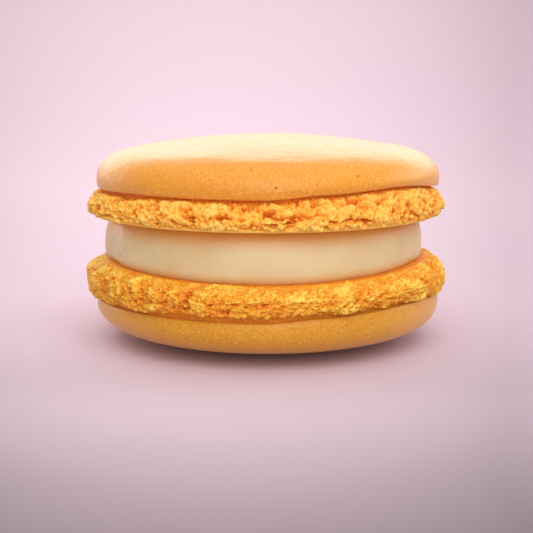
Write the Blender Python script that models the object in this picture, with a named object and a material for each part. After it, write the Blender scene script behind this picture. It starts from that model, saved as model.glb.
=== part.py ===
"""French macaron: two baked almond shells with ruffled feet, and the filling between them.

The dimensions below are in millimetres, the meshes in metres, with +Z up. The origin is
the centre of the small flat spot on which the lower shell rests. -Y is the front, and an
azimuth is counted in degrees from the front, positive towards +X.
"""
import math
from dataclasses import dataclass

import bmesh
import bpy
from mathutils import Vector, noise

MM = 0.001

# Heights above the surface that the macaron rests on
LOWER_LIP = 6.15
LOWER_BASE_BACK = 11.7
UPPER_BASE = 16.75
UPPER_LIP = 20.5

# The lower shell's base is lower at the front, so the filling is thicker there
FRONT_DIP = 1.45
DIP_POWER = 2.5
DIP_RADIUS = 22.0

# The filling: its widest circle, its two edges and how far it sits to the left
FILLING_RADIUS = 21.0
FILLING_TOP_RADIUS = 19.7
FILLING_BOTTOM_RADIUS = 20.1
FILLING_BELLY = 13.0
FILLING_SHIFT = -0.55
FILLING_WAVE = 0.12

# The gap that touching solids keep
GAP = 0.3

# Ruffles of the foot: the depth of the lumps and of the flat cracks between them,
# the size of one lump round and up the foot, and where on the radius they start
LUMP_DEPTH = 0.6
CRACK_DEPTH = 0.3
MEAN_SINK = 0.1
RUFFLE_WIDTH = 2.6
RUFFLE_HEIGHT = 1.3
RUFFLE_START = 21.2
RUFFLE_FULL = 22.0

# The lip's wander fades out this far up the dome, and inside this radius
WANDER_HEIGHT = 2.6
WANDER_RADIUS = 19.0

# Facets of the round shapes
STEPS_ROUND = 108
CROWN_STEPS = 6
SHOULDER_STEPS = 6
FOOT_TOP_STEPS = 5
FOOT_BASE_STEPS = 4
FILLING_TOP_STEPS = 5
FILLING_BOTTOM_STEPS = 4
BASE_RINGS = (21.0, 14.0, 7.0)
MERGE_DISTANCE = 1e-6


@dataclass(frozen=True)
class Shell:
    """One baked shell, with heights measured from its lip towards the top of its dome."""
    name: str
    radius: float            # widest circle of the dome
    crown: float             # radius of the wide arc over the top
    shoulder: float          # radius of the tight arc at the side
    lip_drop: float          # from the widest circle down to the lip
    flat: float              # radius of the flat spot on the dome, 0 for none
    recess_radius: float     # the groove between the lip and the foot
    recess_drop: float       # from the lip down to the groove
    foot_radius: float       # widest circle of the foot
    foot_base_radius: float  # edge of the foot's flat base
    foot_shift: float        # how far the foot sits to the right
    foot_belly: float        # from the lip down to the foot's widest circle
    foot_height: float       # from the lip down to the base
    lip_wander: tuple        # (azimuth, shift towards the top of the dome) of the lip
    seed: Vector             # where the ruffles are read from the noise


UPPER = Shell(
    name="upper_shell", radius=22.5, crown=89.0, shoulder=3.1, lip_drop=1.0, flat=0.0,
    recess_radius=21.3, recess_drop=0.4, foot_radius=23.4, foot_base_radius=22.2,
    foot_shift=-0.25, foot_belly=2.55, foot_height=UPPER_LIP - UPPER_BASE,
    lip_wander=((-90, -0.4), (-45, 0.0), (0, 0.0), (17, 0.5), (44, 0.95), (90, -0.2), (180, 0.0)),
    seed=Vector((3.1, 7.7, 0.4)))

LOWER = Shell(
    name="lower_shell", radius=22.65, crown=80.0, shoulder=3.0, lip_drop=1.0, flat=8.0,
    recess_radius=21.9, recess_drop=0.3, foot_radius=23.7, foot_base_radius=22.3,
    foot_shift=-0.25, foot_belly=2.9, foot_height=LOWER_BASE_BACK - LOWER_LIP,
    lip_wander=((-90, 0.4), (-45, 0.0), (0, 0.0), (14, -0.4), (50, -0.8), (90, -0.2), (180, 0.0)),
    seed=Vector((11.9, 2.3, 5.2)))


def clear_scene():
    """Remove every object of the open scene."""
    for item in list(bpy.data.objects):
        bpy.data.objects.remove(item, do_unlink=True)


def smooth_step(value):
    """Ease from 0 to 1 as the value goes from 0 to 1."""
    value = min(max(value, 0.0), 1.0)
    return value * value * (3.0 - 2.0 * value)


def around(azimuth, stations):
    """A smooth value at an azimuth between (azimuth, value) stations on a closed ring."""
    first_azimuth, first_value = stations[0]
    ring = list(stations) + [(first_azimuth + 360.0, first_value)]
    azimuth = first_azimuth + (azimuth - first_azimuth) % 360.0
    for (start, low), (end, high) in zip(ring, ring[1:]):
        if azimuth <= end:
            return low + (high - low) * smooth_step((azimuth - start) / (end - start))
    return first_value


def front_dip(y):
    """How far the lower shell's base lies under its back edge at depth y."""
    share = (1.0 - y / DIP_RADIUS) / 2.0
    return FRONT_DIP * min(max(share, 0.0), 1.0) ** DIP_POWER


def dome_profile(shell):
    """(radius, height over the lip) from the middle of the dome down to the lip."""
    join = math.asin((shell.radius - shell.shoulder) / (shell.crown - shell.shoulder))
    start = math.asin(shell.flat / shell.crown)
    points = [(0.0, -shell.crown * (1.0 - math.cos(start)))]
    first = 0 if shell.flat else 1
    for step in range(first, CROWN_STEPS + 1):
        angle = start + (join - start) * step / CROWN_STEPS
        points.append((shell.crown * math.sin(angle), -shell.crown * (1.0 - math.cos(angle))))
    centre_radius = shell.radius - shell.shoulder
    centre_height = -shell.crown + (shell.crown - shell.shoulder) * math.cos(join)
    end = math.pi / 2.0 + math.asin(shell.lip_drop / shell.shoulder)
    for step in range(1, SHOULDER_STEPS + 1):
        angle = join + (end - join) * step / SHOULDER_STEPS
        points.append((centre_radius + shell.shoulder * math.sin(angle),
                       centre_height + shell.shoulder * math.cos(angle)))
    lip_height = points[-1][1]
    return [(radius, height - lip_height) for radius, height in points]


def foot_profile(shell):
    """(radius, height over the lip) from the groove under the lip to the middle of the base."""
    points = []
    groove = -shell.recess_drop
    belly = -shell.foot_belly
    base = -shell.foot_height
    for step in range(FOOT_TOP_STEPS + 1):
        angle = math.pi / 2.0 * step / FOOT_TOP_STEPS
        points.append((shell.recess_radius + (shell.foot_radius - shell.recess_radius) * math.sin(angle),
                       belly + (groove - belly) * math.cos(angle)))
    for step in range(1, FOOT_BASE_STEPS + 1):
        angle = math.pi / 2.0 * step / FOOT_BASE_STEPS
        points.append((shell.foot_base_radius
                       + (shell.foot_radius - shell.foot_base_radius) * math.cos(angle),
                       belly + (base - belly) * math.sin(angle)))
    points += [(radius, base) for radius in BASE_RINGS]
    points.append((0.0, base))
    return points


def turn(profile):
    """A new bmesh of the profile, in millimetres, spun once round Z and closed at its poles."""
    mesh = bmesh.new()
    ring = [mesh.verts.new((radius, 0.0, height)) for radius, height in profile]
    edges = [mesh.edges.new(pair) for pair in zip(ring, ring[1:])]
    bmesh.ops.spin(mesh, geom=ring + edges, axis=(0.0, 0.0, 1.0), cent=(0.0, 0.0, 0.0),
                   angle=math.tau, steps=STEPS_ROUND, use_merge=True)
    bmesh.ops.remove_doubles(mesh, verts=mesh.verts, dist=MERGE_DISTANCE / MM)
    return mesh


def finish(name, mesh, material):
    """Turn a bmesh in millimetres into a named object in metres, facing outwards."""
    bmesh.ops.scale(mesh, vec=(MM, MM, MM), verts=mesh.verts)
    bmesh.ops.triangulate(mesh, faces=mesh.faces)
    bmesh.ops.recalc_face_normals(mesh, faces=mesh.faces)
    data = bpy.data.meshes.new(name)
    mesh.to_mesh(data)
    mesh.free()
    data.shade_smooth()
    data.set_sharp_from_angle(angle=math.radians(50.0))
    data.materials.append(material)
    item = bpy.data.objects.new(name, data)
    bpy.context.scene.collection.objects.link(item)
    return item


def food(name, colour, roughness):
    """A Principled material for one kind of food."""
    material = bpy.data.materials.new(name)
    material.use_nodes = True
    shader = material.node_tree.nodes["Principled BSDF"]
    shader.inputs["Base Color"].default_value = (*colour, 1.0)
    shader.inputs["Roughness"].default_value = roughness
    shader.inputs["Metallic"].default_value = 0.0
    material.diffuse_color = (*colour, 1.0)
    return material


def ruffle(shell, point):
    """How far the foot's crust stands out (or in, if negative) at a point of its side."""
    place = Vector((point.x / RUFFLE_WIDTH, point.y / RUFFLE_WIDTH, point.z / RUFFLE_HEIGHT))
    lump = noise.noise(0.8 * place + shell.seed) + 0.4 * noise.noise(2.1 * place - shell.seed)
    flattened = Vector((0.6 * place.x, 0.6 * place.y, 1.6 * place.z))
    crack = noise.noise(flattened + 2.0 * shell.seed)
    return LUMP_DEPTH * lump + CRACK_DEPTH * crack - MEAN_SINK


def shape_shell(shell, mesh):
    """Give a turned shell its wandering lip and the ruffles of its foot."""
    for vert in mesh.verts:
        point = vert.co
        radius = math.hypot(point.x, point.y)
        azimuth = math.degrees(math.atan2(point.x, -point.y))
        if radius > WANDER_RADIUS:
            up_the_dome = max(point.z, 0.0) / WANDER_HEIGHT
            down_the_foot = max(-point.z, 0.0) / shell.foot_height
            shift = around(azimuth, shell.lip_wander) * smooth_step(1.0 - up_the_dome - down_the_foot)
        else:
            shift = 0.0
        if point.z < -0.5 * shell.recess_drop:
            out = ruffle(shell, point) / radius if radius > RUFFLE_START else 0.0
            out *= smooth_step((radius - RUFFLE_START) / (RUFFLE_FULL - RUFFLE_START))
            point.x = point.x * (1.0 + out) + shell.foot_shift
            point.y *= 1.0 + out
        point.z += shift


def make_upper_shell(material):
    """The shell on top: its base faces down and its dome up."""
    mesh = turn(dome_profile(UPPER) + foot_profile(UPPER))
    shape_shell(UPPER, mesh)
    for vert in mesh.verts:
        vert.co.z += UPPER_LIP
    return finish(UPPER.name, mesh, material)


def make_lower_shell(material):
    """The shell below: the same shape upside down, with its flat spot on the surface."""
    mesh = turn(dome_profile(LOWER) + foot_profile(LOWER))
    shape_shell(LOWER, mesh)
    dome_height = max(vert.co.z for vert in mesh.verts)
    for vert in mesh.verts:
        share_down = min(max(-vert.co.z / LOWER.foot_height, 0.0), 1.0)
        vert.co.z = dome_height - vert.co.z - front_dip(vert.co.y) * smooth_step(share_down)
    return finish(LOWER.name, mesh, material)


def filling_profile():
    """(radius, height) of the filling from the middle of its top to the middle of its bottom."""
    top = UPPER_BASE - GAP
    bottom = LOWER_BASE_BACK + GAP
    points = [(0.0, top), (BASE_RINGS[1], top)]
    for step in range(FILLING_TOP_STEPS + 1):
        angle = math.pi / 2.0 * step / FILLING_TOP_STEPS
        points.append((FILLING_TOP_RADIUS + (FILLING_RADIUS - FILLING_TOP_RADIUS) * math.sin(angle),
                       FILLING_BELLY + (top - FILLING_BELLY) * math.cos(angle)))
    for step in range(1, FILLING_BOTTOM_STEPS + 1):
        angle = math.pi / 2.0 * step / FILLING_BOTTOM_STEPS
        points.append((FILLING_BOTTOM_RADIUS
                       + (FILLING_RADIUS - FILLING_BOTTOM_RADIUS) * math.cos(angle),
                       FILLING_BELLY + (bottom - FILLING_BELLY) * math.sin(angle)))
    points += [(radius, bottom) for radius in BASE_RINGS[1:]]
    points.append((0.0, bottom))
    return points


def make_filling(material):
    """The filling: a soft barrel whose underside follows the lower shell's base."""
    mesh = turn(filling_profile())
    top = UPPER_BASE - GAP
    bottom = LOWER_BASE_BACK + GAP
    for vert in mesh.verts:
        point = vert.co
        radius = math.hypot(point.x, point.y)
        share_down = (top - point.z) / (top - bottom)
        if radius > FILLING_TOP_RADIUS - 1.0:
            wave = noise.noise(Vector((point.x / 9.0, point.y / 9.0, point.z / 6.0)))
            point.x *= 1.0 + FILLING_WAVE * wave / radius
            point.y *= 1.0 + FILLING_WAVE * wave / radius
        point.z -= front_dip(point.y) * share_down
        point.x += FILLING_SHIFT
    return finish("filling", mesh, material)


def main():
    """Build the three pieces of the macaron."""
    clear_scene()
    make_lower_shell(food("baked_shell_lower", (0.70, 0.33, 0.08), 0.65))
    make_filling(food("cream_filling", (0.80, 0.60, 0.36), 0.45))
    make_upper_shell(food("baked_shell_upper", (0.86, 0.48, 0.13), 0.65))


main()
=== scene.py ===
"""Looks of a French macaron: two baked almond shells with ruffled feet and a cream filling.

Sizes in the classes are millimetres, and every mesh is written in metres, in the frame of
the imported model. -Y is the front. An azimuth is counted in degrees from the front, positive
towards +X.
"""
import logging
import math
from dataclasses import dataclass
from enum import Enum

import bmesh
import bpy
import numpy as np
from bpy.types import Material, Mesh, Node, NodeOutputs, NodeSocket, NodeTree, Object
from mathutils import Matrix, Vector, noise


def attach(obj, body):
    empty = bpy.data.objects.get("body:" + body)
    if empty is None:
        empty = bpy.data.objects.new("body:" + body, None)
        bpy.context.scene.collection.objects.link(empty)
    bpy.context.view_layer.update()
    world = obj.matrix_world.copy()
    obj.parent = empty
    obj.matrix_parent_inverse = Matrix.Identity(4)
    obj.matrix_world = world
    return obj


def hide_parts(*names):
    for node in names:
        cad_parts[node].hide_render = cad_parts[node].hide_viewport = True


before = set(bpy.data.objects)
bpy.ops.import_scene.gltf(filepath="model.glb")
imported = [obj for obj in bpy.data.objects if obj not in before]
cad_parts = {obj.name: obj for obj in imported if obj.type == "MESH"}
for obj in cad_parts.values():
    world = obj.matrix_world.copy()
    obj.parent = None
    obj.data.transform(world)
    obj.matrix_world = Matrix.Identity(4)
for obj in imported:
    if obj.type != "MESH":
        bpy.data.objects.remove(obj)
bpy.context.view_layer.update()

BODY = "root"
MM = 0.001

# How far red, green and blue light spread under a baked surface, against each other
BAKED_GLOW = (1.0, 0.5, 0.2)

# A point of a dome lies on its skin when it is higher over the lip than this, and on a pore's ray
# when the cosine of the angle between them is larger than this
SKIN_START = 0.2
SAME_RAY = 0.99995

# Values at azimuths in degrees, in rising order, within one turn
Stations = tuple[tuple[float, float], ...]

# The values at which a noise and a squared cell pattern leave the surface where it is
NOISE_MIDDLE = 0.5
CELL_MIDDLE = 0.2

log = logging.getLogger("macaron")


class Rest(Enum):
    """Which way up a shell lies in the macaron."""

    DOME_UP = 1
    DOME_DOWN = -1


def to_linear(colour: str) -> tuple[float, float, float, float]:
    """Turn an sRGB hex colour into the linear colour that a shader takes.

    Args:
        colour: The colour as "#rrggbb".

    Returns:
        Linear red, green and blue, and an alpha of 1.
    """
    channels = (int(colour[start:start + 2], 16) / 255.0 for start in (1, 3, 5))
    return (*(c / 12.92 if c <= 0.04045 else ((c + 0.055) / 1.055) ** 2.4 for c in channels), 1.0)


def wire(tree: NodeTree, node: Node, inputs: dict) -> None:
    """Set the inputs of a node, or link them.

    Args:
        tree: The tree that holds the node.
        node: The node.
        inputs: For each input, by name or place, a value, a socket, or a node whose first output is used.
    """
    for place, value in inputs.items():
        if isinstance(value, Node):
            tree.links.new(value.outputs[0], node.inputs[place])
        elif isinstance(value, NodeSocket):
            tree.links.new(value, node.inputs[place])
        else:
            node.inputs[place].default_value = value


def add(tree: NodeTree, kind: str, inputs: dict | None = None, **settings: object) -> Node:
    """Add one node to a tree, with its settings, values and links.

    Args:
        tree: The tree that gets the node.
        kind: The node's class name.
        inputs: What its inputs are set or linked to, as wire takes it.
        **settings: The node's own properties.

    Returns:
        The new node.
    """
    node = tree.nodes.new(kind)
    for name, value in settings.items():
        setattr(node, name, value)
    wire(tree, node, inputs or {})
    return node


def start_finish(name: str, unit: float = MM) -> tuple[Material, Node, Node]:
    """Start a finish whose patterns stay with the piece.

    Args:
        name: The material's name.
        unit: The length in metres that its patterns are measured in.

    Returns:
        The material, its shader, and the node that gives places in that unit.
    """
    material = bpy.data.materials.new(name)
    material.use_nodes = True
    tree = material.node_tree
    place = add(tree, "ShaderNodeTexCoord").outputs["Object"]
    measured = add(tree, "ShaderNodeMapping", {"Vector": place, "Scale": (1.0 / unit,) * 3})
    return material, tree.nodes["Principled BSDF"], measured


def scaled(tree: NodeTree, kind: str, place: Node, size: NodeSocket,
           **values: float) -> Node:
    """Add a texture whose features have a given size.

    Args:
        tree: The tree that gets the texture.
        kind: The texture node's class name.
        place: The node that gives the places to read it at.
        size: The socket that gives the size of one feature.
        **values: The texture's other inputs.

    Returns:
        The texture node.
    """
    scale = add(tree, "ShaderNodeMath", {0: 1.0, 1: size}, operation="DIVIDE")
    return add(tree, kind, {"Vector": place, "Scale": scale, **values})


def raised(tree: NodeTree, pattern: Node, middle: float, depth: NodeSocket,
           base: Node | float) -> Node:
    """Raise a pattern, counted from its middle value, on a base height.

    Args:
        tree: The tree that gets the nodes.
        pattern: The node whose first output is the pattern.
        middle: The pattern's value that leaves the base as it is.
        depth: The socket that gives the height of a step of 1 in the pattern.
        base: The height below the pattern.

    Returns:
        The node that gives the new height.
    """
    level = add(tree, "ShaderNodeMath", {0: pattern, 1: middle}, operation="SUBTRACT")
    return add(tree, "ShaderNodeMath", {0: level, 1: depth, 2: base}, operation="MULTIPLY_ADD")


def facing(azimuth: float) -> Vector:
    """Turn an azimuth in degrees into the level direction that faces it."""
    angle = math.radians(azimuth)
    return Vector((math.sin(angle), -math.cos(angle), 0.0))


def azimuths(points: np.ndarray) -> np.ndarray:
    """Work out the azimuth in degrees of each point."""
    return np.degrees(np.arctan2(points[:, 0], -points[:, 1]))


def ease(value: np.ndarray) -> np.ndarray:
    """Ease from 0 to 1 as the value goes from 0 to 1."""
    value = np.clip(value, 0.0, 1.0)
    return value * value * (3.0 - 2.0 * value)


def around(azimuth: np.ndarray, stations: Stations) -> np.ndarray:
    """Read a smooth value at azimuths between stations on a closed ring.

    Args:
        azimuth: Azimuths in degrees.
        stations: (azimuth, value) pairs in rising order, within one turn.

    Returns:
        The value at each azimuth.
    """
    first_azimuth, first_value = stations[0]
    ring = (*stations, (first_azimuth + 360.0, first_value))
    azimuth = first_azimuth + (azimuth - first_azimuth) % 360.0
    value = np.full(azimuth.shape, first_value)
    for (start, low), (end, high) in zip(ring, ring[1:]):
        inside = (azimuth >= start) & (azimuth <= end)
        value[inside] = low + (high - low) * ease((azimuth[inside] - start) / (end - start))
    return value


def arc(centre: tuple[float, float], radius: float, start: float, end: float, spacing: float) -> np.ndarray:
    """Points on an arc of a profile, without its first point.

    Args:
        centre: The centre as (distance from the axis, height).
        radius: The arc's radius.
        start: The first angle in radians, from straight up, positive outwards.
        end: The last angle.
        spacing: The longest step between points.

    Returns:
        An array of (distance from the axis, height).
    """
    steps = max(2, math.ceil(abs(end - start) * radius / spacing))
    angles = start + (end - start) * np.arange(1, steps + 1) / steps
    return np.column_stack((centre[0] + radius * np.sin(angles), centre[1] + radius * np.cos(angles)))


def line(start: np.ndarray, end: tuple[float, float], spacing: float) -> np.ndarray:
    """Points on a straight stretch of a profile, without its first point.

    Args:
        start: The point before the first one.
        end: The last point.
        spacing: The longest step between points.

    Returns:
        An array of (distance from the axis, height).
    """
    steps = max(1, math.ceil(math.dist(start, end) / spacing))
    return start + (np.array(end) - start) * (np.arange(1, steps + 1) / steps)[:, None]


def turned_points(profile: np.ndarray, steps: int) -> np.ndarray:
    """Turn the points of a profile round the Z axis.

    Args:
        profile: (distance from the axis, height) of each point.
        steps: The number of steps round the axis.

    Returns:
        The points, ring after ring.
    """
    angles = math.tau * np.arange(steps) / steps
    return np.stack((profile[:, 0, None] * np.sin(angles), -profile[:, 0, None] * np.cos(angles),
                     np.repeat(profile[:, 1, None], steps, axis=1)), axis=-1).reshape(-1, 3)


def bands(lows: np.ndarray, highs: np.ndarray, steps: int) -> list[list[int]]:
    """Join pairs of rings with bands of four-sided faces.

    Args:
        lows: The number of the first point of one ring of each pair.
        highs: The same for the other ring.
        steps: The number of points in a ring.

    Returns:
        The faces, as the numbers of their points.
    """
    here = np.arange(steps)
    after = (here + 1) % steps
    return np.vstack([np.column_stack((low + here, low + after, high + after, high + here))
                      for low, high in zip(lows, highs)]).tolist()


def turned_mesh(name: str, profile: np.ndarray, steps: int) -> Mesh:
    """Turn a profile once round the Z axis into a closed mesh.

    Args:
        name: The mesh's name.
        profile: (distance from the axis, height), from one pole to the other.
        steps: The number of steps round the axis.

    Returns:
        The mesh, in the profile's own unit.
    """
    rings = profile[1:-1]
    points = turned_points(rings, steps)
    poles = np.array(((0.0, 0.0, profile[0, 1]), (0.0, 0.0, profile[-1, 1])))
    first, last = len(points), len(points) + 1
    starts = steps * np.arange(len(rings))
    low = int(starts[-1])
    round_once = [(here, (here + 1) % steps) for here in range(steps)]
    faces = [(first, b, a) for a, b in round_once]
    faces += bands(starts[:-1], starts[1:], steps)
    faces += [(low + a, low + b, last) for a, b in round_once]
    mesh = bpy.data.meshes.new(name)
    mesh.from_pydata(np.vstack((points, poles)).tolist(), [], faces)
    return mesh


def evenly(points: np.ndarray, spacing: float) -> np.ndarray:
    """Place points at even steps along a polyline, its two ends included.

    Args:
        points: The polyline's corners.
        spacing: The longest step between points.

    Returns:
        The new points.
    """
    along = np.concatenate(((0.0,), np.cumsum(np.linalg.norm(np.diff(points, axis=0), axis=1))))
    places = np.linspace(0.0, along[-1], math.ceil(along[-1] / spacing) + 1)
    return np.column_stack([np.interp(places, along, column) for column in points.T])


def softened(points: np.ndarray, spacing: float, blend: float) -> np.ndarray:
    """Ease the bends of a profile, so that its curvature changes slowly, and keep its two ends.

    Args:
        points: The profile's points, which turn one way.
        spacing: The longest step between the new points.
        blend: The length over which a bend is spread.

    Returns:
        The new points.
    """
    steps = np.diff(evenly(points, spacing), axis=0)
    angles = np.unwrap(np.arctan2(steps[:, 1], steps[:, 0]))
    half = math.ceil(0.5 * blend / spacing)
    weights = np.hanning(2 * half + 3)[1:-1]
    eased = np.convolve(np.pad(angles, half, mode="reflect", reflect_type="odd"),
                        weights / weights.sum(), mode="valid")
    path = np.cumsum(np.linalg.norm(steps, axis=1)[:, None]
                     * np.column_stack((np.cos(eased), np.sin(eased))), axis=0)
    path *= (points[-1] - points[0]) / path[-1]
    return np.vstack((points[:1], points[0] + path))


def turned_ring(name: str, profile: np.ndarray, steps: int) -> Mesh:
    """Turn a closed section once round the Z axis into a ring.

    Args:
        name: The mesh's name.
        profile: (distance from the axis, height) once round the section.
        steps: The number of steps round the axis.

    Returns:
        The mesh, in the section's own unit.
    """
    starts = steps * np.arange(len(profile))
    mesh = bpy.data.meshes.new(name)
    mesh.from_pydata(turned_points(profile, steps).tolist(), [],
                     bands(starts, np.roll(starts, -1), steps))
    return mesh


def read_points(mesh: Mesh) -> np.ndarray:
    """Read a mesh's vertices as an array of points."""
    points = np.empty(len(mesh.vertices) * 3, np.float32)
    mesh.vertices.foreach_get("co", points)
    return points.reshape(-1, 3).astype(float)


def write_points(mesh: Mesh, points: np.ndarray) -> None:
    """Write an array of points back into a mesh's vertices."""
    mesh.vertices.foreach_set("co", points.astype(np.float32).ravel())
    mesh.update()


def face_outwards(mesh: Mesh) -> None:
    """Point every face of a closed mesh outwards and shade it smooth."""
    work = bmesh.new()
    work.from_mesh(mesh)
    bmesh.ops.recalc_face_normals(work, faces=work.faces)
    work.to_mesh(mesh)
    work.free()
    mesh.shade_smooth()


def place_piece(name: str, mesh: Mesh, material: Material,
                nodes: tuple[str, ...]) -> Object:
    """Put a finished mesh in the scene as a piece of the macaron.

    Args:
        name: The piece's name.
        mesh: Its mesh, in metres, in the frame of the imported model.
        material: Its finish.
        nodes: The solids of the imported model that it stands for.

    Returns:
        The piece.
    """
    mesh.materials.clear()
    mesh.materials.append(material)
    piece = bpy.data.objects.new(name, mesh)
    bpy.context.scene.collection.objects.link(piece)
    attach(piece, BODY)
    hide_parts(*nodes)
    log.info("%s: %d faces", name, len(mesh.polygons))
    return piece


@dataclass(frozen=True)
class BakedSkin:
    """Almond meringue, piped, dried to a skin and baked.

    It gives the eye a matte, pale orange dome with a fine grain of ground almond, soft patches of
    bake colour, and a velvety veil where light grazes it. Its left and right sides are painted
    paler, a painted light that stands in for the bright room lighting and reflecting in them, and
    its pores hold a red-orange painted shade. The grain is drawn at its real size.
    """

    name: str
    colour: str = "#eba03a"
    pale_colour: str = "#f1ae4c"
    deep_colour: str = "#e2912c"
    speck_colour: str = "#dd8a2c"
    # A red-orange painted shade inside the pores
    pore_shade_colour: str = "#dc5c1c"
    # Painted light: the left and right sides are painted paler, standing in for the bright room lighting and
    # reflecting in them
    side_light_colour: str = "#f8c070"
    side_light_share: float = 0.5
    side_light_start: float = 13.0
    side_light_end: float = 22.0
    patch_size: float = 9.0
    grain_size: float = 0.26
    grain_depth: float = 0.05
    grain_strength: float = 0.45
    fleck_start: float = 0.5
    fleck_end: float = 0.68
    speck_start: float = 0.38
    speck_end: float = 0.28
    ripple_size: float = 0.7
    ripple_depth: float = 0.085
    roughness: float = 0.36
    sheen: float = 0.12
    sheen_roughness: float = 0.4
    specular: float = 0.32
    glow: float = 0.1
    glow_depth: float = 0.5

    def material(self) -> Material:
        """Build the finish: layers of colour over patches of bake, painted paler sides, painted shade in the
        pores, a speckled grain and a low bump.
        """
        material, shader, place = start_finish(self.name)
        tree = material.node_tree
        patches = add(tree, "ShaderNodeTexNoise", {
            "Vector": place, "Scale": 1.0 / self.patch_size, "Detail": 3.0})
        grain = add(tree, "ShaderNodeTexNoise", {
            "Vector": place, "Scale": 1.0 / self.grain_size, "Detail": 2.0})
        # Painted light, paler towards the left and right sides
        axes = add(tree, "ShaderNodeSeparateXYZ", {0: place})
        aside = add(tree, "ShaderNodeMath", {0: axes.outputs[0]}, operation="ABSOLUTE")
        side = add(tree, "ShaderNodeMapRange", {
            "Value": aside, "From Min": self.side_light_start, "From Max": self.side_light_end,
            "To Max": self.side_light_share})
        flecks = add(tree, "ShaderNodeMapRange", {
            "Value": grain, "From Min": self.fleck_start, "From Max": self.fleck_end})
        specks = add(tree, "ShaderNodeMapRange", {
            "Value": grain, "From Min": self.speck_start, "From Max": self.speck_end})
        # Painted shade inside the pores, deepest at their middles
        pores = add(tree, "ShaderNodeAttribute", attribute_name="pit_shade").outputs["Fac"]
        skin = to_linear(self.deep_colour)
        for share, colour in ((patches, self.colour), (side, self.side_light_colour), (flecks, self.pale_colour),
                              (specks, self.speck_colour), (pores, self.pore_shade_colour)):
            layer = add(tree, "ShaderNodeMix", {0: share, 6: skin, 7: to_linear(colour)}, data_type="RGBA")
            skin = layer.outputs[2]
        ripples = add(tree, "ShaderNodeTexNoise", {
            "Vector": place, "Scale": 1.0 / self.ripple_size, "Detail": 2.0})
        rippled = add(tree, "ShaderNodeBump", {
            "Height": ripples, "Strength": 1.0, "Distance": self.ripple_depth * MM})
        bump = add(tree, "ShaderNodeBump", {
            "Height": grain, "Strength": self.grain_strength, "Distance": self.grain_depth * MM,
            "Normal": rippled})
        wire(tree, shader, {
            "Base Color": skin, "Normal": bump, "Roughness": self.roughness,
            "Specular IOR Level": self.specular, "Sheen Weight": self.sheen,
            "Sheen Roughness": self.sheen_roughness, "Subsurface Weight": self.glow,
            "Subsurface Radius": BAKED_GLOW, "Subsurface Scale": self.glow_depth * MM})
        return material


@dataclass(frozen=True)
class BakedCrumb:
    """The crumb that shows where the meringue rose and tore open in the oven.

    It gives the eye dry, porous clots, painted with light and shade by depth: pale yellow on their tips and
    deep orange in their pits.
    """

    name: str
    # Painted light and shade by depth: the tips are painted pale and the pits and caves deep orange
    tip_colour: str = "#ffd268"
    colour: str = "#feba42"
    pit_shade_colour: str = "#f29420"
    cave_shade_colour: str = "#cc5a08"
    tip_end: float = 0.12
    colour_place: float = 0.38
    pit_shade_place: float = 0.66
    grain_size: float = 0.28
    grain_depth: float = 0.07
    grain_strength: float = 0.8
    grain_start: float = 0.3
    grain_end: float = 0.7
    mottle: float = 0.2
    roughness: float = 0.7
    glow: float = 0.1
    glow_depth: float = 0.25

    def material(self) -> Material:
        """Build the finish: painted light and shade that follow the depth under the crumb's tips."""
        material, shader, place = start_finish(self.name)
        tree = material.node_tree
        pit_shade = add(tree, "ShaderNodeAttribute", attribute_name="pit_shade").outputs["Fac"]
        grain = add(tree, "ShaderNodeTexNoise", {
            "Vector": place, "Scale": 1.0 / self.grain_size, "Detail": 1.0})
        shade = add(tree, "ShaderNodeMapRange", {
            "Value": grain, "From Min": self.grain_start, "From Max": self.grain_end, "To Min": self.mottle,
            "To Max": -self.mottle})
        depth = add(tree, "ShaderNodeMath", {0: pit_shade, 1: shade}, operation="ADD")
        # Painted light and shade: pale on the tips, deepening to orange in the pits and caves
        ramp = add(tree, "ShaderNodeValToRGB", {"Fac": depth})
        tip, cave = ramp.color_ramp.elements
        tip.position = self.tip_end
        tip.color = to_linear(self.tip_colour)
        cave.color = to_linear(self.cave_shade_colour)
        for position, colour in ((self.colour_place, self.colour), (self.pit_shade_place, self.pit_shade_colour)):
            ramp.color_ramp.elements.new(position).color = to_linear(colour)
        bump = add(tree, "ShaderNodeBump", {
            "Height": grain, "Strength": self.grain_strength, "Distance": self.grain_depth * MM})
        wire(tree, shader, {
            "Base Color": ramp, "Normal": bump, "Roughness": self.roughness, "Subsurface Weight": self.glow,
            "Subsurface Radius": BAKED_GLOW, "Subsurface Scale": self.glow_depth * MM})
        return material


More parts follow.
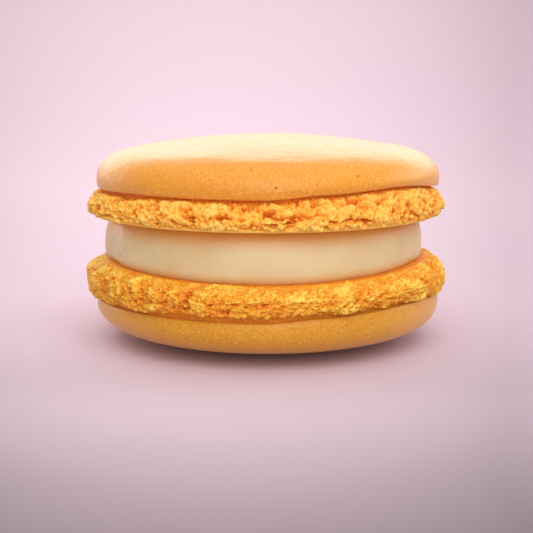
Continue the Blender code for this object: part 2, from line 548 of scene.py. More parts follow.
@dataclass(frozen=True)
class Cream:
    """Whipped ganache, piped and pressed flat between the shells.

    It gives the eye a smooth satin cream that lets light into its surface, with faint streaks, and
    a painted orange shade where it touches the crumb, standing in for the shells' shadow and warm
    bounce light.
    """

    name: str = "whipped_cream_filling"
    colour: str = "#e0cea2"
    deep_colour: str = "#dac08e"
    # A painted orange shade where the cream touches the crumb, standing in for the shells' shadow and warm
    # bounce light
    touch_shade_colour: str = "#e4a44c"
    patch_size: float = 5.0
    streak_start: float = 0.35
    streak_end: float = 0.75
    roughness: float = 0.38
    glow: float = 0.5
    glow_radii: tuple[float, float, float] = (1.0, 0.6, 0.3)
    glow_depth: float = 1.5

    def material(self) -> Material:
        """Build the finish: faint streaks of colour and soft light under the surface."""
        material, shader, place = start_finish(self.name)
        tree = material.node_tree
        streaks = add(tree, "ShaderNodeTexNoise", {
            "Vector": place, "Scale": 1.0 / self.patch_size, "Detail": 2.0})
        share = add(tree, "ShaderNodeMapRange", {
            "Value": streaks, "From Min": self.streak_start, "From Max": self.streak_end})
        mixed = add(tree, "ShaderNodeMix", {
            0: share, 6: to_linear(self.colour), 7: to_linear(self.deep_colour)}, data_type="RGBA")
        # Painted shade, warmed by the shells' orange bounce light, where the cream touches the crumb
        touch_shade = add(tree, "ShaderNodeAttribute", attribute_name="touch_shade").outputs["Fac"]
        touch_shaded = add(tree, "ShaderNodeMix", {
            0: touch_shade, 6: mixed.outputs[2], 7: to_linear(self.touch_shade_colour)}, data_type="RGBA")
        wire(tree, shader, {
            "Base Color": touch_shaded.outputs[2], "Roughness": self.roughness, "Subsurface Weight": self.glow,
            "Subsurface Radius": self.glow_radii, "Subsurface Scale": self.glow_depth * MM})
        return material


@dataclass(frozen=True)
class PaintedLightCard:
    """Matte card whose colour changes from the backdrop to the front of the floor.

    Its colour is painted light: darker towards the front of the floor and towards its sides,
    where the light falls off, and lighter in a band just in front of the macaron, where it
    softens the contact shadow. Its places are in metres. Each station is a place along Y and the
    colour there.
    """

    name: str = "painted_light_card"
    # The stations paint shade that darkens the floor towards the front, and a lighter band just in front of
    # the macaron that lightens its contact shadow
    stations: tuple[tuple[float, str], ...] = (
        (-0.40, "#c9bac6"), (-0.09, "#837580"), (-0.03, "#d5c3d3"), (-0.005, "#e1cde2"), (0.03, "#e8d1e3"),
        (0.20, "#ecd5e5"), (0.27, "#edd5e6"), (0.33, "#eed5e7"), (0.42, "#f0d8e8"))
    middle: float = -0.038
    falloff_start: float = -0.16
    falloff: float = 0.30
    falloff_width: float = 0.24
    nearest: float = 0.1
    roughness: float = 0.9
    specular: float = 0.1

    def material(self) -> Material:
        """Build the finish: a plain matte colour with painted light and shade along the sheet, and painted
        shade towards its sides.
        """
        material, shader, place = start_finish(self.name, 1.0)
        tree = material.node_tree
        axes = add(tree, "ShaderNodeSeparateXYZ", {0: place})
        front, back = self.stations[0][0], self.stations[-1][0]
        share = add(tree, "ShaderNodeMapRange", {
            "Value": axes.outputs[1], "From Min": front, "From Max": back})
        fade = add(tree, "ShaderNodeValToRGB", {"Fac": share})
        fade.color_ramp.interpolation = "EASE"
        for element, (_, colour) in zip(fade.color_ramp.elements, (self.stations[0], self.stations[-1])):
            element.color = to_linear(colour)
        for along, colour in self.stations[1:-1]:
            fade.color_ramp.elements.new((along - front) / (back - front)).color = to_linear(colour)
        depth = add(tree, "ShaderNodeMath", {0: axes.outputs[1], 1: self.falloff_start}, operation="SUBTRACT")
        reach = add(tree, "ShaderNodeMath", {0: depth, 1: self.nearest}, operation="MAXIMUM")
        sideways = add(tree, "ShaderNodeMath", {0: axes.outputs[0], 1: reach}, operation="DIVIDE")
        aside = add(tree, "ShaderNodeMath", {0: sideways, 1: self.middle}, operation="SUBTRACT")
        squared = add(tree, "ShaderNodeMath", {0: aside, 1: aside}, operation="MULTIPLY")
        kept = add(tree, "ShaderNodeMapRange", {
            "Value": squared, "From Max": self.falloff_width ** 2, "To Min": 1.0,
            "To Max": 1.0 - self.falloff})
        card = add(tree, "ShaderNodeVectorMath", {0: fade, "Scale": kept}, operation="SCALE")
        wire(tree, shader, {
            "Base Color": card, "Roughness": self.roughness, "Specular IOR Level": self.specular})
        return material


@dataclass(frozen=True)
class Shell:
    """One baked shell. Its own heights start at the lip and rise towards the dome's top.

    Its crown is one arc and its shoulder another, whose centre lies at shoulder_height. Each wander,
    and the brim, is a height at stations round the shell.
    """

    name: str
    rest: Rest
    lip_height: float
    radius: float
    crown: float
    shoulder: float
    flat: float
    recess_radius: float
    foot_radius: float
    foot_base_radius: float
    foot_shift: float
    foot_belly: float
    foot_height: float
    lip_wander: Stations
    belly_wander: Stations = ((-90, 0.0), (90, 0.0))
    brim: Stations = ((-90, 0.0), (90, 0.0))
    brim_start: float = 20.6
    brim_width: float = 2.2
    front_dip: float = 0.0
    dip_power: float = 2.5
    dip_radius: float = 22.0
    shoulder_height: float = 1.0
    wander_height: float = 2.6

    @property
    def join(self) -> float:
        """The angle from straight up at which the crown's arc meets the shoulder's."""
        return math.asin((self.radius - self.shoulder) / (self.crown - self.shoulder))

    @property
    def crown_centre(self) -> float:
        """The height of the crown arc's centre over the lip."""
        return self.shoulder_height - (self.crown - self.shoulder) * math.cos(self.join)

    @property
    def dome_height(self) -> float:
        """The height of the dome's top, or of its flat spot, over the lip."""
        return self.crown_centre + math.sqrt(self.crown ** 2 - self.flat ** 2)

    def settle(self, points: np.ndarray) -> np.ndarray:
        """Bend points of the true shell into the real one and put them in the macaron.

        Args:
            points: Points in millimetres, in the shell's own frame.

        Returns:
            Points in metres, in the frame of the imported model.
        """
        x, y, z = points.T
        azimuth = azimuths(points)
        up_the_dome = np.maximum(z, 0.0) / self.wander_height
        down_the_foot = np.clip(-z / self.foot_height, 0.0, 1.0)
        bent = z + around(azimuth, self.lip_wander) * ease(1.0 - up_the_dome - down_the_foot)
        bent += around(azimuth, self.belly_wander) * 4.0 * down_the_foot * (1.0 - down_the_foot)
        if self.rest is Rest.DOME_UP:
            height = self.lip_height + bent
        else:
            share = np.clip((1.0 - y / self.dip_radius) / 2.0, 0.0, 1.0)
            height = self.dome_height - bent - self.front_dip * share ** self.dip_power * ease(down_the_foot)
            outer = ease((np.hypot(x, y) - self.brim_start) / self.brim_width)
            height -= around(azimuth, self.brim) * outer * ease(2.0 * down_the_foot - 1.0)
        return np.column_stack((x, y, height)) * MM


@dataclass(frozen=True)
class Cap:
    """The smooth dome of a shell, with its lip, and the plain core that the foot hides."""

    shell: Shell
    finish: BakedSkin
    seed: float
    steps: int = 620
    spacing: float = 0.22
    fine_spacing: float = 0.12
    flat_spacing: float = 0.8
    base_spacing: float = 2.0
    blend: float = 9.5
    edge_radius: float = 0.3
    edge_end: float = math.pi * 1.15
    recess_start: float = 0.05
    core_inset: float = 2.2
    core_start: float = 0.6
    core_end: float = 0.9
    swell: float = 0.09
    swell_size: float = 7.0
    ripple: float = 0.03
    ripple_size: float = 1.6
    smooth_lip: float = 1.5
    smooth_top: float = 2.0
    pores: tuple[tuple[float, float, float], ...] = ()
    pore_depth: float = 1.2
    pore_margin: float = 3.0
    pore_cuts: int = 3

    def dome(self) -> np.ndarray:
        """Work out the crown and the shoulder, eased into one another."""
        shell = self.shell
        start = math.asin(shell.flat / shell.crown)
        dome = np.vstack((((shell.flat, shell.dome_height),),
                          arc((0.0, shell.crown_centre), shell.crown, start, shell.join, self.fine_spacing),
                          arc(self.shoulder, shell.shoulder, shell.join, self.side, self.fine_spacing)))
        return softened(dome, self.spacing, self.blend)

    @property
    def shoulder(self) -> tuple[float, float]:
        """The centre of the shoulder's arc."""
        return self.shell.radius - self.shell.shoulder, self.shell.shoulder_height

    @property
    def side(self) -> float:
        """The angle from straight up at which the shoulder's arc meets the lip's."""
        shell = self.shell
        return math.acos((self.edge_radius - shell.shoulder_height) / (shell.shoulder - self.edge_radius))

    def profile(self) -> np.ndarray:
        """Work out the dome, its rounded lip and the core, from the top to the middle of the base."""
        shell = self.shell
        points = self.dome()
        if shell.flat:
            middle = (0.0, shell.dome_height)
            flat = line(np.array(middle), (shell.flat, shell.dome_height), self.flat_spacing)
            points = np.vstack(((middle,), flat, points[1:]))
        reach = shell.shoulder - self.edge_radius
        across, up = self.shoulder
        edge = (across + reach * math.sin(self.side), up + reach * math.cos(self.side))
        points = np.vstack((points, arc(edge, self.edge_radius, self.side, self.edge_end, self.fine_spacing)))
        core = shell.recess_radius - self.core_inset
        base = -self.core_end * shell.foot_height
        for end, spacing in (((shell.recess_radius, self.recess_start), self.spacing),
                             ((core, -self.core_start * shell.foot_height), self.spacing),
                             ((core, base), self.spacing), ((0.0, base), self.base_spacing)):
            points = np.vstack((points, line(points[-1], end, spacing)))
        return points

    def roughen(self, points: np.ndarray) -> np.ndarray:
        """Give the dome its slight unevenness: broad swells and finer ripples.

        Args:
            points: Points of the true dome in millimetres.

        Returns:
            The same points, moved by a few hundredths of a millimetre.
        """
        shift = Vector((self.seed, -self.seed, 2.0 * self.seed))
        for point in points:
            place = Vector(point)
            swell = noise.noise(place / self.swell_size + shift) * self.swell
            ripple = noise.noise(place / self.ripple_size + shift) * self.ripple
            out = (swell + ripple) * min(max(point[2] / self.smooth_lip, 0.0), 1.0)
            distance = math.hypot(point[0], point[1])
            if distance > 1.0 and point[2] < self.shell.dome_height - self.smooth_top:
                point[:2] *= 1.0 + out / distance
            elif self.shell.rest is Rest.DOME_UP:
                point[2] += out
        return points

    def dig_pores(self, mesh: Mesh) -> None:
        """Dig the small round pores that air bubbles left in the dome's skin, and mark a painted shade inside
        each.

        Args:
            mesh: The dome's mesh in millimetres, whose faces round each pore are split finer.
        """
        work = bmesh.new()
        work.from_mesh(mesh)
        # Mark the painted shade inside each pore, from its rim to its middle
        pit_shade = work.verts.layers.float.new("pit_shade")
        for azimuth, height, radius in self.pores:
            ray = facing(azimuth)
            near = min((vert for vert in work.verts if vert.co.z > SKIN_START
                        and vert.co.xy.normalized().dot(ray.xy) > SAME_RAY),
                       key=lambda vert: abs(vert.co.z - height))
            centre, inwards = near.co.copy(), -near.normal
            edges = [edge for edge in work.edges
                     if (edge.verts[0].co - centre).length < self.pore_margin * radius]
            bmesh.ops.subdivide_edges(work, edges=edges, cuts=self.pore_cuts, use_grid_fill=True)
            for vert in work.verts:
                away = (vert.co - centre).length / radius
                if away < 1.0:
                    vert.co += inwards * radius * self.pore_depth * (1.0 - away ** 2)
                    vert[pit_shade] = min(1.0, 2.0 * (1.0 - away))
        work.to_mesh(mesh)
        work.free()

    def build(self, node: str) -> Object:
        """Turn the dome, roughen it and put it in the macaron.

        Args:
            node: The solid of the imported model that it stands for.

        Returns:
            The piece.
        """
        mesh = turned_mesh(f"{self.shell.name}_cap", self.profile(), self.steps)
        face_outwards(mesh)
        write_points(mesh, self.roughen(read_points(mesh)))
        self.dig_pores(mesh)
        write_points(mesh, self.shell.settle(read_points(mesh)))
        face_outwards(mesh)
        return place_piece(mesh.name, mesh, self.finish.material(), (node,))


@dataclass(frozen=True)
class CrumbStages:
    """The stages of the node tree that tears a ring's side into crumb."""

    tree: NodeTree
    size: NodeOutputs

    def bend(self, place: Node) -> Node:
        """Bend the places that the patterns are read at, so that none of them looks drawn.

        Args:
            place: The node that gives the true places.

        Returns:
            The node that gives the bent ones.
        """
        tree, size = self.tree, self.size
        nudged = add(tree, "ShaderNodeVectorMath", {0: place, 1: size["Seed"]}, operation="ADD")
        swirl = scaled(tree, "ShaderNodeTexNoise", nudged, size["Bend Size"], Detail=1.0)
        centred = add(tree, "ShaderNodeVectorMath", {
            0: swirl.outputs["Color"], 1: (NOISE_MIDDLE,) * 3}, operation="SUBTRACT")
        return add(tree, "ShaderNodeVectorMath", {
            0: centred, 1: size["Bend Depth"], 2: nudged}, operation="MULTIPLY_ADD")

    def flatten(self, place: Node, flatness: NodeSocket) -> Node:
        """Stretch places upwards, so that a pattern read there comes out flatter.

        Args:
            place: The node that gives the places.
            flatness: The socket that gives how many times flatter.

        Returns:
            The node that gives the stretched places.
        """
        squash = add(self.tree, "ShaderNodeCombineXYZ", {0: 1.0, 1: 1.0, 2: flatness})
        return add(self.tree, "ShaderNodeVectorMath", {0: place, 1: squash}, operation="MULTIPLY")

    def tear(self, bent: Node, flat: Node) -> Node:
        """Tear the side into round clots and grains with creases between them, cracks and pores.

        Args:
            bent: The node that gives the bent places.
            flat: The node that gives them flattened.

        Returns:
            The node that gives the torn height.
        """
        tree, size = self.tree, self.size
        height = 0.0
        for kind, place in (("Clot", flat), ("Grain", bent)):
            cell = scaled(tree, "ShaderNodeTexVoronoi", place, size[f"{kind} Size"]).outputs["Distance"]
            squared = add(tree, "ShaderNodeMath", {0: cell, 1: cell}, operation="MULTIPLY")
            height = raised(tree, squared, CELL_MIDDLE, size[f"{kind} Depth"], height)
        slit = self.flatten(bent, size["Slit Flatness"])
        tears = scaled(tree, "ShaderNodeTexNoise", slit, size["Crack Size"], Detail=2.5, Roughness=0.6)
        cracks = add(tree, "ShaderNodeMapRange", {
            "Value": tears, "From Min": size["Crack Start"], "From Max": size["Crack End"]},
            interpolation_type="SMOOTHSTEP")
        cracked = raised(tree, cracks, 0.0, size["Crack Depth"], height)
        bubbles = scaled(tree, "ShaderNodeTexVoronoi", bent, size["Pore Size"])
        away = add(tree, "ShaderNodeMath", {
            0: bubbles.outputs["Distance"], 1: size["Pore Size"]}, operation="MULTIPLY")
        chance = add(tree, "ShaderNodeSeparateXYZ", {0: bubbles.outputs["Color"]})
        bubble = add(tree, "ShaderNodeMath", {0: size["Pore Radius"], 1: chance}, operation="MULTIPLY")
        pores = add(tree, "ShaderNodeMapRange", {
            "Value": away, "From Min": bubble, "From Max": 0.0}, interpolation_type="SMOOTHSTEP")
        return raised(tree, pores, 0.0, size["Pore Depth"], cracked)

    def ragged_edge(self, height: NodeSocket, flat: Node) -> Node:
        """Find the groove over the crumb's ragged edge.

        Args:
            height: The socket that gives how high a place lies.
            flat: The node that gives the flattened places.

        Returns:
            The node that gives 0 in the crumb and 1 in the groove.
        """
        tree, size = self.tree, self.size
        reach = add(tree, "GeometryNodeInputNamedAttribute", {"Name": "groove"}, data_type="FLOAT")
        over = add(tree, "ShaderNodeMath", {0: height, 1: reach}, operation="ADD")
        edge = scaled(tree, "ShaderNodeTexNoise", flat, size["Clot Size"], Detail=3.0)
        ragged = raised(tree, edge, NOISE_MIDDLE, size["Groove Wander"], over)
        under_edge = add(tree, "ShaderNodeMath", {0: size["Groove Slope"], 1: -1.0}, operation="MULTIPLY")
        return add(tree, "ShaderNodeMapRange", {
            "Value": ragged, "From Min": under_edge, "From Max": size["Groove Slope"]},
            interpolation_type="SMOOTHSTEP")

    def fall_back(self, axes: Node) -> Node:
        """Work out the way straight inwards to the bottom of the groove.

        Args:
            axes: The node that gives the axes of a place.

        Returns:
            The node that gives the way as an offset.
        """
        tree = self.tree
        level = add(tree, "ShaderNodeCombineXYZ", {0: axes.outputs[0], 1: axes.outputs[1]})
        distance = add(tree, "ShaderNodeVectorMath", {0: level}, operation="LENGTH").outputs["Value"]
        back = add(tree, "ShaderNodeMath", {0: self.size["Groove Radius"], 1: distance}, operation="SUBTRACT")
        fall = add(tree, "ShaderNodeMath", {0: back, 1: 0.0}, operation="MINIMUM")
        radial = add(tree, "ShaderNodeVectorMath", {0: level}, operation="NORMALIZE")
        return add(tree, "ShaderNodeVectorMath", {0: radial, "Scale": fall}, operation="SCALE")


@dataclass(frozen=True)
class Foot:
    """The ruffled foot of a shell: a ring whose round side is torn into porous crumb."""

    shell: Shell
    finish: BakedCrumb
    seed: float
    steps: int = 1120
    spacing: float = 0.13
    plain_spacing: float = 0.45
    inner_radius: float = 18.5
    top: float = 0.15
    fullness: float = 1.5
    flatness: float = 1.5
    slit_flatness: float = 2.4
    bend_size: float = 0.9
    bend_depth: float = 0.9
    lump_size: float = 2.3
    lump_depth: float = 0.9
    clot_size: float = 0.8
    clot_depth: float = 0.55
    grain_size: float = 0.4
    grain_depth: float = 0.5
    crack_size: float = 1.6
    crack_depth: float = 0.85
    crack_start: float = 0.53
    crack_end: float = 0.66
    pore_size: float = 1.15
    pore_radius: float = 0.26
    pore_depth: float = 0.45
    groove_round: Stations = (
        (-90, 0.65), (-48, 0.6), (-30, 0.35), (0, 0.45), (20, 0.45), (60, 0.35), (180, 0.5))
    groove_wander: float = 1.0
    groove_slope: float = 0.1
    # How dark the painted shade is in the groove under the lip
    groove_shade: float = 0.75
    ledge_radius: float = 21.9
    ledge_slope: float = 0.5
    skin_height: float = 0.26
    skin_slope: float = 0.15
    # How dark the painted shade is on the smooth ledge and skin, and the heights between which it deepens
    # from the tips' colour to the caves'
    plain_shade: float = 0.15
    tip_height: float = 0.35
    pit_height: float = -0.85
    rough_round: Stations = ((-90, 1.0), (90, 1.0))
    lump_start: float = 0.3
    section_points: int = 60

    def profile(self) -> np.ndarray:
        """Work out the ring's closed section, from its inner top edge over its side and back."""
        shell = self.shell
        angles = np.linspace(0.0, math.pi / 2.0, self.section_points)
        groove, base = shell.recess_radius, shell.foot_base_radius
        swell = (1.0 - np.cos(angles) ** self.fullness) ** (1.0 / self.fullness)
        upper = np.column_stack((groove + (shell.foot_radius - groove) * swell,
                                 -shell.foot_belly * (1.0 - np.cos(angles))))
        lower = np.column_stack((base + (shell.foot_radius - base) * np.cos(angles),
                                 -shell.foot_belly - (shell.foot_height - shell.foot_belly) * np.sin(angles)))
        ledge = np.array(((self.ledge_radius - self.ledge_slope, -shell.foot_height),))
        side = evenly(np.vstack((((groove, self.top),), upper, lower[1:], ledge)), self.spacing)
        back = evenly(np.array((ledge[0], (self.inner_radius, -shell.foot_height),
                                (self.inner_radius, self.top), (groove, self.top))), self.plain_spacing)
        return np.vstack((side, back[1:-1]))

    def roughness(self, points: np.ndarray) -> np.ndarray:
        """Work out how rough the crumb is at each point: the ledge and the base's skin are smooth.

        Args:
            points: Points of the ring in millimetres.

        Returns:
            A share from 0 to 1 for each point.
        """
        distance = np.hypot(points[:, 0], points[:, 1])
        share = ease((distance - self.ledge_radius) / self.ledge_slope)
        share *= around(azimuths(points), self.rough_round)
        if self.skin_height:
            over_skin = points[:, 2] + self.shell.foot_height - self.skin_height
            share *= ease(over_skin / self.skin_slope + 0.5)
        return share

    def sizes(self) -> dict[str, float]:
        """Gather the sizes that are the tree's inputs, depths downwards."""
        return {"Seed": self.seed, "Flatness": self.flatness, "Slit Flatness": self.slit_flatness,
                "Bend Size": self.bend_size, "Bend Depth": self.bend_depth,
                "Lump Size": self.lump_size, "Lump Depth": self.lump_depth,
                "Clot Size": self.clot_size, "Clot Depth": -self.clot_depth,
                "Grain Size": self.grain_size, "Grain Depth": -self.grain_depth,
                "Crack Size": self.crack_size, "Crack Depth": -self.crack_depth,
                "Crack Start": self.crack_start, "Crack End": self.crack_end,
                "Pore Size": self.pore_size, "Pore Radius": self.pore_radius,
                "Pore Depth": -self.pore_depth, "Groove Radius": self.shell.recess_radius,
                "Groove Wander": self.groove_wander, "Groove Slope": self.groove_slope,
                "Groove Shade": self.groove_shade, "Plain Shade": self.plain_shade,
                "Tip Height": self.tip_height, "Pit Height": self.pit_height}

    def tree(self, material: Material) -> NodeTree:
        """Build the node tree that tears the ring's side into crumb.

        Args:
            material: The crumb's finish.

        Returns:
            The tree, with the ring and the sizes as its named inputs.
        """
        tree = bpy.data.node_groups.new(f"{self.shell.name}_crumb", "GeometryNodeTree")
        tree.interface.new_socket(name="Ring", in_out="INPUT", socket_type="NodeSocketGeometry")
        for name, value in self.sizes().items():
            socket = tree.interface.new_socket(name=name, in_out="INPUT", socket_type="NodeSocketFloat")
            socket.default_value = value
        tree.interface.new_socket(name="Crumb", in_out="OUTPUT", socket_type="NodeSocketGeometry")
        size = add(tree, "NodeGroupInput").outputs
        stages = CrumbStages(tree, size)
        place = add(tree, "GeometryNodeInputPosition")
        rough = add(tree, "GeometryNodeInputNamedAttribute", {"Name": "rough"}, data_type="FLOAT")
        bent = stages.bend(place)
        flat = stages.flatten(bent, size["Flatness"])
        torn = add(tree, "ShaderNodeMath", {0: stages.tear(bent, flat), 1: rough}, operation="MULTIPLY")

        # Lumps swell under all of it, and leave the smooth parts alone
        lumps = scaled(tree, "ShaderNodeTexNoise", flat, size["Lump Size"], Detail=2.0)
        lumpy = raised(tree, lumps, NOISE_MIDDLE, size["Lump Depth"], 0.0)
        crumbly = add(tree, "ShaderNodeMapRange", {"Value": rough, "From Max": self.lump_start})
        height = add(tree, "ShaderNodeMath", {0: lumpy, 1: crumbly, 2: torn}, operation="MULTIPLY_ADD")

        # The crumb ends in a ragged edge, and over it the side falls back to the groove
        axes = add(tree, "ShaderNodeSeparateXYZ", {0: place})
        groove = stages.ragged_edge(axes.outputs[2], flat)
        inwards = stages.fall_back(axes)
        normal = add(tree, "GeometryNodeInputNormal").outputs["Normal"]
        outwards = add(tree, "ShaderNodeVectorMath", {0: normal, "Scale": height}, operation="SCALE")
        offset = add(tree, "ShaderNodeMix", {0: groove, 4: outwards, 5: inwards}, data_type="VECTOR")

        # The finish paints shade from the depth under the tips, a fixed painted shade on the smooth parts and
        # another in the groove
        sunk = add(tree, "ShaderNodeMapRange", {
            "Value": height, "From Min": size["Tip Height"], "From Max": size["Pit Height"]})
        plain = add(tree, "ShaderNodeMix", {0: crumbly, 2: size["Plain Shade"], 3: sunk})
        pit_shade = add(tree, "ShaderNodeMix", {0: groove, 2: plain, 3: size["Groove Shade"]})
        marked = add(tree, "GeometryNodeStoreNamedAttribute", {
            "Geometry": size["Ring"], "Name": "pit_shade", "Value": pit_shade.outputs[0]}, data_type="FLOAT",
            domain="POINT")
        moved = add(tree, "GeometryNodeSetPosition", {"Geometry": marked, "Offset": offset.outputs[1]})
        real = add(tree, "GeometryNodeRealizeInstances", {"Geometry": moved})
        dressed = add(tree, "GeometryNodeSetMaterial", {"Geometry": real, "Material": material})
        add(tree, "NodeGroupOutput", {"Crumb": dressed})
        return tree

    def ring(self) -> Mesh:
        """Turn the ring, and mark on it how rough it is and how high its groove reaches."""
        ring = turned_ring(f"{self.shell.name}_ring", self.profile(), self.steps)
        points = read_points(ring)
        for attribute, values in (("rough", self.roughness(points)),
                                  ("groove", around(azimuths(points), self.groove_round))):
            ring.attributes.new(attribute, "FLOAT", "POINT").data.foreach_set(
                "value", values.astype(np.float32))
        face_outwards(ring)
        return ring

    def build(self, node: str) -> Object:
        """Tear the ring's side into crumb and put it in the macaron.

        Args:
            node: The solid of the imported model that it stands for.

        Returns:
            The piece.
        """
        material = self.finish.material()
        seedling = bpy.data.objects.new("crumb_seedling", self.ring())
        bpy.context.scene.collection.objects.link(seedling)
        modifier = seedling.modifiers.new("crumb", "NODES")
        modifier.node_group = self.tree(material)
        sockets = {item.name: item.identifier for item in modifier.node_group.interface.items_tree
                   if item.in_out == "INPUT"}
        for name, value in self.sizes().items():
            modifier[sockets[name]] = value
        torn = seedling.evaluated_get(bpy.context.evaluated_depsgraph_get())
        mesh = bpy.data.meshes.new_from_object(torn)
        mesh.name = f"{self.shell.name}_foot"
        seedling.modifiers.remove(modifier)
        bpy.data.objects.remove(seedling)
        points = self.shell.settle(read_points(mesh))
        points[:, 0] += self.shell.foot_shift * MM
        write_points(mesh, points)
        face_outwards(mesh)
        return place_piece(mesh.name, mesh, material, (node,))


@dataclass(frozen=True)
class Filling:
    """The barrel of cream between the shells: soft edges, slow waves and a few wrinkles.

    Each bubble is its azimuth, its height and its radius.
    """

    lower: Shell
    finish: Cream
    top_height: float
    radius: float = 21.0
    top_radius: float = 19.4
    bottom_radius: float = 20.1
    belly: float = 13.0
    sink: float = 0.1
    shift: float = -0.55
    steps: int = 720
    rings: int = 48
    wave: float = 0.12
    wave_size: tuple[float, float, float] = (9.0, 9.0, 6.0)
    crease: float = 0.05
    crease_size: tuple[float, float, float] = (1.3, 1.3, 5.0)
    rim: float = 1.0
    # How far the painted shade under the upper and lower shells reaches, and how strong it is at the bottom
    touch_shade_height: float = 2.3
    lower_touch_shade_height: float = 1.15
    lower_touch_shade: float = 0.4
    folds: Stations = (
        (-84, -0.12), (-74, 0.2), (-66, -0.12), (-56, 0.1), (-44, -0.04), (0, 0.0), (50, 0.04), (63, -0.1),
        (71, 0.16), (80, -0.1), (120, 0.05), (180, -0.05), (230, 0.05))
    bubbles: tuple[tuple[float, float, float], ...] = (
        (-57.7, 12.9, 0.5), (-66.0, 14.2, 0.4), (61.4, 12.1, 0.45), (49.1, 12.2, 0.35), (205.0, 13.5, 0.45))
    bubble_depth: float = 0.5

    def profile(self) -> np.ndarray:
        """Work out the barrel's half section, from the middle of its top to that of its bottom."""
        bottom = self.lower.dome_height + self.lower.foot_height - self.sink
        angles = np.linspace(0.0, math.pi / 2.0, self.rings)
        upper = np.column_stack((self.top_radius + (self.radius - self.top_radius) * np.sin(angles),
                                 self.belly + (self.top_height - self.belly) * np.cos(angles)))
        lower = np.column_stack((self.bottom_radius + (self.radius - self.bottom_radius) * np.cos(angles),
                                 self.belly + (bottom - self.belly) * np.sin(angles)))
        ends = np.array(((0.0, self.top_height), (0.5 * self.top_radius, self.top_height)))
        feet = np.array(((0.5 * self.bottom_radius, bottom), (0.0, bottom)))
        return np.vstack((ends, upper, lower[1:], feet))

    def dents(self, points: np.ndarray) -> np.ndarray:
        """Work out how deep the small burst bubbles dent the barrel at each point."""
        depth = np.zeros(len(points))
        for azimuth, height, radius in self.bubbles:
            angle = math.radians(azimuth)
            centre = (self.radius * math.sin(angle), -self.radius * math.cos(angle), height)
            away = np.linalg.norm(points - centre, axis=1) / radius
            depth += self.bubble_depth * radius * ease(1.0 - away)
        return depth

    def uneven(self, points: np.ndarray) -> np.ndarray:
        """Fold, dent, wave and crease the barrel's side, and rest its bottom on the lower shell.

        Args:
            points: Points of the true barrel in millimetres.

        Returns:
            The same points, moved.
        """
        bottom = points[:, 2].min()
        depths = around(azimuths(points), self.folds) - self.dents(points)
        for point, out in zip(points, depths):
            distance = math.hypot(point[0], point[1])
            if distance > self.top_radius - self.rim:
                for height, size in ((self.wave, self.wave_size), (self.crease, self.crease_size)):
                    out += height * noise.noise(Vector([axis / length for axis, length in zip(point, size)]))
                point[:2] *= 1.0 + out / distance
            share = (self.top_height - point[2]) / (self.top_height - bottom)
            dip = (1.0 - point[1] / self.lower.dip_radius) / 2.0
            point[2] -= self.lower.front_dip * dip ** self.lower.dip_power * share
        points[:, 0] += self.shift
        return points

    def build(self, node: str) -> Object:
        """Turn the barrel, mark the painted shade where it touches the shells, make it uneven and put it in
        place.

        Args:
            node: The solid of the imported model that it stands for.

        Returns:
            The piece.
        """
        mesh = turned_mesh("cream", self.profile(), self.steps)
        points = read_points(mesh)
        height = points[:, 2]
        # Painted shade under the upper foot and, fainter, over the lower one
        under_top = ease(1.0 - (self.top_height - height) / self.touch_shade_height)
        over_bottom = ease(1.0 - (height - height.min()) / self.lower_touch_shade_height)
        touch_shade = np.maximum(under_top, self.lower_touch_shade * over_bottom).astype(np.float32)
        mesh.attributes.new("touch_shade", "FLOAT", "POINT").data.foreach_set("value", touch_shade)
        write_points(mesh, self.uneven(points) * MM)
        face_outwards(mesh)
        return place_piece("cream_filling", mesh, self.finish.material(), (node,))


@dataclass(frozen=True)
class SoftLight:
    """A soft oblong light that faces the macaron. Its lengths are metres and its power is watts."""

    name: str
    place: tuple[float, float, float]
    size: tuple[float, float]
    power: float
    colour: str
    aim: tuple[float, float, float] = (0.0, 0.0, 0.014)

    def hang(self) -> None:
        """Hang the light, itself unseen by the camera."""
        data = bpy.data.lights.new(self.name, "AREA")
        data.shape = "RECTANGLE"
        data.size, data.size_y = self.size
        data.energy = self.power
        data.color = to_linear(self.colour)[:3]
        light = bpy.data.objects.new(self.name, data)
        light.location = self.place
        light.visible_camera = False
        towards = Vector(self.aim) - Vector(self.place)
        light.rotation_euler = towards.to_track_quat("-Z", "Y").to_euler()
        bpy.context.scene.collection.objects.link(light)


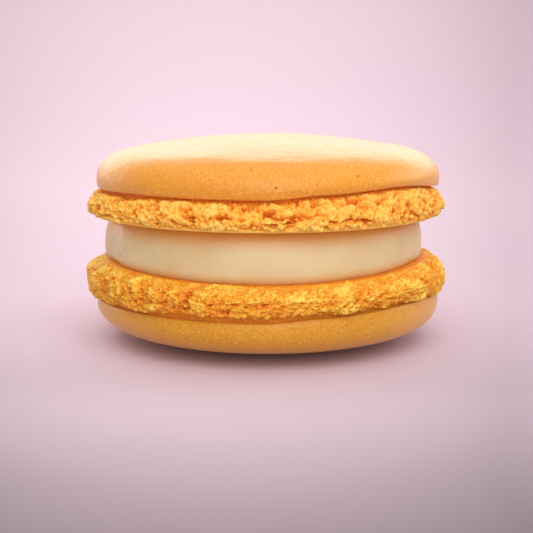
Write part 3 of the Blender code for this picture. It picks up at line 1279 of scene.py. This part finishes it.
@dataclass(frozen=True)
class Studio:
    """The camera, the soft lights and the pale sweep that the macaron stands on.

    The camera's place is in millimetres, and the sweep and the lights are in metres.
    """

    distance: float = 160.0
    height: float = 36.0
    pitch: float = 9.52
    aside: float = -0.18
    focal_pixels: float = 1210.0
    frame_pixels: float = 533.0
    sensor: float = 36.0
    front: float = -0.9
    back: float = 0.22
    half_width: float = 1.4
    bend: float = 0.35
    wall_height: float = 0.125
    bend_steps: int = 24
    lights: tuple[SoftLight, ...] = (
        SoftLight("back", (0.0, 0.66, 0.27), (1.10, 0.29), 3.35, "#fffdfa"),
        SoftLight("overhead", (0.0, 0.02, 0.40), (0.60, 0.50), 0.75, "#fffaf4"),
        SoftLight("front", (0.06, -0.50, 0.33), (0.65, 0.65), 3.3, "#fff8f0"),
        SoftLight("left", (-0.34, 0.34, 0.09), (0.28, 0.17), 0.36, "#ffe9d8"),
        SoftLight("right", (0.42, 0.12, 0.20), (0.36, 0.22), 0.48, "#fff4f6"))
    room_colour: str = "#fffcf8"
    room_strength: float = 0.37

    def place_camera(self) -> None:
        """Stand the camera at the photograph's viewpoint."""
        data = bpy.data.cameras.new("camera")
        data.sensor_width = self.sensor
        data.lens = self.focal_pixels / self.frame_pixels * self.sensor
        data.clip_start = 0.01
        camera = bpy.data.objects.new("camera", data)
        camera.location = (self.aside * MM, -self.distance * MM, self.height * MM)
        camera.rotation_euler = (math.radians(90.0 - self.pitch), 0.0, 0.0)
        bpy.context.scene.collection.objects.link(camera)
        bpy.context.scene.camera = camera

    def lay_sweep(self) -> None:
        """Lay the floor and raise it behind into a backdrop, in one smooth sheet."""
        outline = [(self.front, 0.0), (self.back, 0.0)]
        top = math.acos(1.0 - self.wall_height / self.bend)
        for step in range(1, self.bend_steps + 1):
            angle = top * step / self.bend_steps
            outline.append((self.back + self.bend * math.sin(angle), self.bend * (1.0 - math.cos(angle))))
        verts = [(side * self.half_width, y, z) for y, z in outline for side in (-1, 1)]
        faces = [(2 * i, 2 * i + 1, 2 * i + 3, 2 * i + 2) for i in range(len(outline) - 1)]
        mesh = bpy.data.meshes.new("sweep")
        mesh.from_pydata(verts, [], faces)
        mesh.shade_smooth()
        mesh.materials.append(PaintedLightCard().material())
        sweep = bpy.data.objects.new("sweep", mesh)
        bpy.context.scene.collection.objects.link(sweep)

    def light(self) -> None:
        """Hang the lights and set the glow of the room."""
        for light in self.lights:
            light.hang()
        world = bpy.data.worlds.new("room")
        world.use_nodes = True
        wire(world.node_tree, world.node_tree.nodes["Background"], {
            "Color": to_linear(self.room_colour), "Strength": self.room_strength})
        bpy.context.scene.world = world
        bpy.context.scene.view_settings.view_transform = "Standard"


# Heights over the floor: both lips, the upper foot's base, and the lower foot's at the back
UPPER_LIP = 20.5
UPPER_BASE = 16.75
LOWER_LIP = 6.15
LOWER_BASE_BACK = 11.7

# How far the cream reaches up into the upper foot
FILLING_TUCK = 0.05

UPPER_SHELL = Shell(
    name="upper", rest=Rest.DOME_UP, lip_height=UPPER_LIP, radius=22.5, crown=89.0, shoulder=3.1,
    flat=0.0, recess_radius=21.3, foot_radius=23.4, foot_base_radius=22.2, foot_shift=-0.25,
    foot_belly=2.55, foot_height=UPPER_LIP - UPPER_BASE,
    lip_wander=((-90, -0.4), (-45, 0.0), (0, 0.0), (17, 0.5), (44, 0.95), (90, -0.2), (180, 0.0)))

LOWER_SHELL = Shell(
    name="lower", rest=Rest.DOME_DOWN, lip_height=LOWER_LIP, radius=22.65, crown=80.0, shoulder=3.0,
    flat=8.0, recess_radius=21.9, foot_radius=23.7, foot_base_radius=22.3, foot_shift=-0.25,
    foot_belly=2.9, foot_height=LOWER_BASE_BACK - LOWER_LIP, front_dip=1.45,
    lip_wander=((-90, 0.4), (-45, 0.0), (0, 0.0), (14, -0.4), (50, -0.8), (90, -0.2), (180, 0.0)),
    belly_wander=((-90, -0.5), (-40, 0.0), (40, 0.0), (90, 0.45), (180, 0.0)),
    brim=((-90, 1.3), (-45, 0.3), (45, 0.3), (90, 0.9), (140, 1.3), (220, 1.6)))

# Each pore as its azimuth, its height over the lip and its radius
UPPER_PORES = ((-5.0, 3.45, 0.17), (2.4, 1.5, 0.17), (14.9, 1.55, 0.11), (28.5, 2.5, 0.18),
               (-98.0, 2.6, 0.15), (112.0, 2.4, 0.18), (158.0, 3.2, 0.16), (-131.0, 1.9, 0.2))

UPPER_CAP = Cap(UPPER_SHELL, BakedSkin("baked_meringue_upper"), seed=2.0, pores=UPPER_PORES)
# The lower skin's colours are darker and browner than the upper's: painted shade for the dimmer light that
# reaches the macaron's underside
LOWER_CAP = Cap(
    LOWER_SHELL,
    BakedSkin("baked_meringue_lower_shaded", colour="#d8992e", pale_colour="#e0a942", deep_colour="#d18f22",
              speck_colour="#b97a1e", side_light_colour="#f0bc70"),
    seed=5.0)
UPPER_FOOT = Foot(UPPER_SHELL, BakedCrumb("baked_crumb_upper"), seed=3.0)
LOWER_FOOT = Foot(
    LOWER_SHELL,
    BakedCrumb("baked_crumb_lower", tip_colour="#fcd456", colour="#eaa524", pit_shade_colour="#e68c16"),
    seed=8.0, steps=1020, fullness=2.6, flatness=0.8, slit_flatness=0.8, lump_depth=1.35,
    clot_size=0.7, clot_depth=0.34, grain_size=0.36, grain_depth=0.46, crack_depth=0.35, crack_start=0.56,
    pore_size=0.72, pore_radius=0.38, pore_depth=0.5, skin_height=0.0, ledge_radius=21.1,
    plain_shade=0.7, groove_shade=0.6, pit_height=-0.72,
    groove_round=((-90, 0.3), (-45, 0.4), (-28, 0.8), (8, 0.8), (25, 0.4), (60, 0.25), (180, 0.5)),
    rough_round=((-90, 0.25), (-50, 1.0), (90, 0.9), (180, 1.0)))
FILLING = Filling(LOWER_SHELL, Cream(), top_height=UPPER_BASE + FILLING_TUCK)


def main() -> None:
    """Build the studio and each piece of the macaron, and report them."""
    logging.basicConfig(level=logging.INFO, format="%(message)s")
    studio = Studio()
    studio.place_camera()
    studio.lay_sweep()
    studio.light()
    UPPER_CAP.build("upper_shell")
    LOWER_CAP.build("lower_shell")
    UPPER_FOOT.build("upper_shell")
    LOWER_FOOT.build("lower_shell")
    FILLING.build("filling")


if __name__ == "__main__":
    main()
